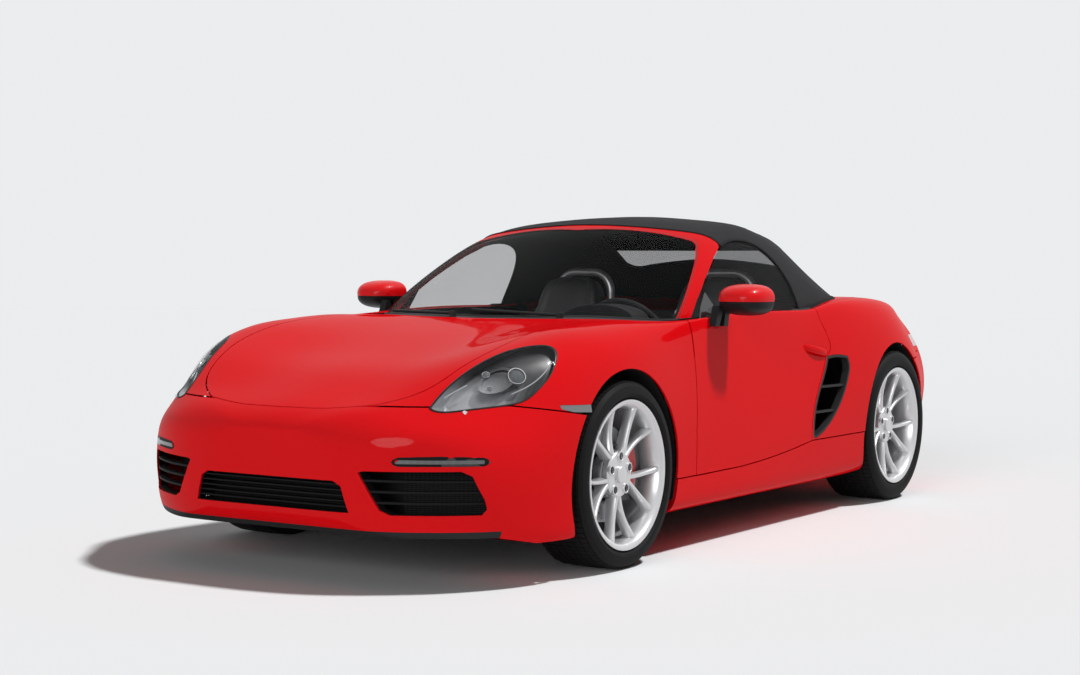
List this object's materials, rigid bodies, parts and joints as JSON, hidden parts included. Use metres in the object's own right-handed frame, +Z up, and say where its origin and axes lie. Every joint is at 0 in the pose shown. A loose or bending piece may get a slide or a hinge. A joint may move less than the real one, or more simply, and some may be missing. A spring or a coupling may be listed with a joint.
{
  "type": "convertible car",
  "caption": "Red mid-engined convertible car with its black fabric roof closed, opening doors and lids, steered front wheels and silver alloy wheels.",
  "frame": {"origin": "on the road under the middle of the car", "axes": "+X towards the car's left, nose towards -Y, +Z up"},
  "size_m": [1.9962, 4.379, 1.301],
  "materials": {
    "paint_red": "gloss",
    "trim_black": "matte",
    "trim_gloss": "gloss",
    "lamp_shell": "gloss",
    "clear_lens": "gloss",
    "lamp_red": "gloss",
    "glass_dark": "gloss",
    "roof_fabric": "matte",
    "floor_metal": "matte",
    "interior_black": "matte",
    "seat_leather": "satin",
    "hoop_metal": "satin",
    "alloy_silver": "satin",
    "tyre_black": "matte",
    "steel_dark": "satin",
    "engine_metal": "matte",
    "exhaust_steel": "satin"
  },
  "bodies": {
    "body": {"front_bumper": "paint_red", "front_lip": "trim_black", "front_grilles": "trim_black", "front_fenders": "paint_red", "headlamps": "lamp_shell", "headlamp_lenses": "clear_lens", "front_lamps": "clear_lens", "cowl_panel": "trim_black", "wipers": "trim_black", "windscreen_frame": "paint_red", "windscreen": "glass_dark", "floor_tub": "floor_metal", "front_boot_tub": "floor_metal", "rear_boot_tub": "floor_metal", "engine_bay": "floor_metal", "sills": "paint_red", "dashboard": "interior_black", "seats": "seat_leather", "roll_hoops": "hoop_metal", "soft_top": "roof_fabric", "rear_window": "glass_dark", "rear_quarters": "paint_red", "side_vents": "trim_black", "top_cover": "paint_red", "rear_bumper": "paint_red", "tail_lamps": "lamp_red", "diffuser": "trim_black", "tailpipes": "exhaust_steel", "engine": "engine_metal", "wheel_liners": "trim_black", "suspension": "steel_dark"},
    "door_left": {"door_left": "paint_red", "door_glass_left": "glass_dark", "mirror_left": "paint_red"},
    "door_right": {"door_right": "paint_red", "door_glass_right": "glass_dark", "mirror_right": "paint_red"},
    "front_lid": {"front_lid": "paint_red"},
    "rear_lid": {"rear_lid": "paint_red"},
    "knuckle_left": {"knuckle_left": "steel_dark"},
    "knuckle_right": {"knuckle_right": "steel_dark"},
    "steering_wheel": {"steering_wheel": "interior_black"},
    "front_wheel_left": {"wheel_front_left": "alloy_silver", "tyre_front_left": "tyre_black"},
    "front_wheel_right": {"wheel_front_right": "alloy_silver", "tyre_front_right": "tyre_black"},
    "rear_wheel_left": {"wheel_rear_left": "alloy_silver", "tyre_rear_left": "tyre_black"},
    "rear_wheel_right": {"wheel_rear_right": "alloy_silver", "tyre_rear_right": "tyre_black"}
  },
  "joints": [
    {"name": "door_left", "type": "hinge", "parent": "body", "child": "door_left", "pos_m": [0.812, -0.64, 0.7], "axis": [0.0712, 0, -0.9975], "range_deg": [0, 65]},
    {"name": "door_right", "type": "hinge", "parent": "body", "child": "door_right", "pos_m": [-0.812, -0.64, 0.7], "axis": [0.0712, 0, 0.9975], "range_deg": [0, 65]},
    {"name": "front_lid", "type": "hinge", "parent": "body", "child": "front_lid", "pos_m": [0, -0.797, 0.86656], "axis": [-1, 0, 0], "range_deg": [0, 60]},
    {"name": "rear_lid", "type": "hinge", "parent": "body", "child": "rear_lid", "pos_m": [0, 1.405, 0.92405], "axis": [1, 0, 0], "range_deg": [0, 50]},
    {"name": "steer_left", "type": "hinge", "parent": "body", "child": "knuckle_left", "pos_m": [0.72, -1.2595, 0.336], "axis": [0, 0, 1], "range_deg": [-30, 30]},
    {"name": "steer_right", "type": "hinge", "parent": "body", "child": "knuckle_right", "pos_m": [-0.72, -1.2595, 0.336], "axis": [0, 0, 1], "range_deg": [-30, 30]},
    {"name": "steering_wheel", "type": "hinge", "parent": "body", "child": "steering_wheel", "pos_m": [0.365, -0.395, 0.77], "axis": [0, 0.9063, 0.4226], "range_deg": [-450, 450]},
    {"name": "front_wheel_left", "type": "hinge", "parent": "knuckle_left", "child": "front_wheel_left", "pos_m": [0.7575, -1.2595, 0.336], "axis": [1, 0, 0], "continuous": true},
    {"name": "front_wheel_right", "type": "hinge", "parent": "knuckle_right", "child": "front_wheel_right", "pos_m": [-0.7575, -1.2595, 0.336], "axis": [1, 0, 0], "continuous": true},
    {"name": "rear_wheel_left", "type": "hinge", "parent": "body", "child": "rear_wheel_left", "pos_m": [0.758, 1.2155, 0.347], "axis": [1, 0, 0], "continuous": true},
    {"name": "rear_wheel_right", "type": "hinge", "parent": "body", "child": "rear_wheel_right", "pos_m": [-0.758, 1.2155, 0.347], "axis": [1, 0, 0], "continuous": true}
  ],
  "couplings": [
    {"joint": "steer_right", "follows": "steer_left", "ratio": 1},
    {"joint": "steering_wheel", "follows": "steer_left", "ratio": 15}
  ]
}
